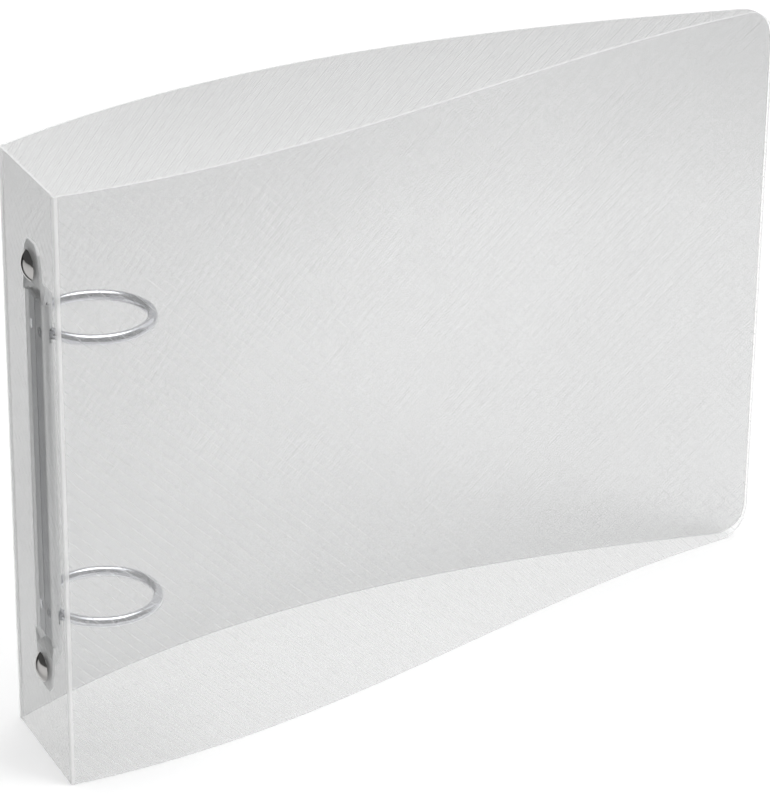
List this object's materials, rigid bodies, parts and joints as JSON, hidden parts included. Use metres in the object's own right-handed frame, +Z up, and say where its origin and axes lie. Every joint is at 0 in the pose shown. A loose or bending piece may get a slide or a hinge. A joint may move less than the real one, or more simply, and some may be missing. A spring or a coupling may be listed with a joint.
{
  "type": "ring binder",
  "caption": "Clear plastic ring binder standing upright: creased sheet covers and spine with a riveted ring mechanism that opens to hold punched paper.",
  "frame": {"origin": "middle of the spine panel's lower edge", "axes": "+X from the spine to the fore-edge, +Y from the front cover to the rear cover, +Z up along the spine"},
  "size_m": [0.2378, 0.0696, 0.165],
  "materials": {
    "clear_sheet": "fine diagonal emboss, half clear",
    "plated_steel": "bright nickel-plated sheet steel",
    "blade_steel": "plain rolled strip",
    "ring_nickel": "polished nickel plate",
    "rivet_nickel": "polished nickel plate"
  },
  "bodies": {
    "spine": {"spine_panel": "clear_sheet", "front_crease": "clear_sheet", "rear_crease": "clear_sheet", "ring_housing": "plated_steel", "upper_rivet_cap": "rivet_nickel", "lower_rivet_cap": "rivet_nickel", "upper_rivet_post": "rivet_nickel", "lower_rivet_post": "rivet_nickel"},
    "front_cover": {"front_cover": "clear_sheet"},
    "rear_cover": {"rear_cover": "clear_sheet"},
    "front_ring_carrier": {"front_blade": "blade_steel", "upper_front_half_ring": "ring_nickel", "lower_front_half_ring": "ring_nickel"},
    "rear_ring_carrier": {"rear_blade": "blade_steel", "upper_rear_half_ring": "ring_nickel", "lower_rear_half_ring": "ring_nickel"}
  },
  "joints": [
    {"name": "front_cover_fold", "type": "hinge", "parent": "spine", "child": "front_cover", "pos_m": [-0.00005, -0.0196, 0.0825], "axis": [0, 0, -1], "range_deg": [0, 180]},
    {"name": "rear_cover_fold", "type": "hinge", "parent": "spine", "child": "rear_cover", "pos_m": [-0.00005, 0.0196, 0.0825], "axis": [0, 0, 1], "range_deg": [0, 180]},
    {"name": "front_ring_opening", "type": "hinge", "parent": "spine", "child": "front_ring_carrier", "pos_m": [0.00181, -0.00579, 0.0825], "axis": [0, 0, -1], "range_deg": [0, 8]},
    {"name": "rear_ring_opening", "type": "hinge", "parent": "spine", "child": "rear_ring_carrier", "pos_m": [0.00181, 0.00579, 0.0825], "axis": [0, 0, 1], "range_deg": [0, 8]}
  ],
  "couplings": [
    {"joint": "rear_ring_opening", "follows": "front_ring_opening", "ratio": 1}
  ]
}
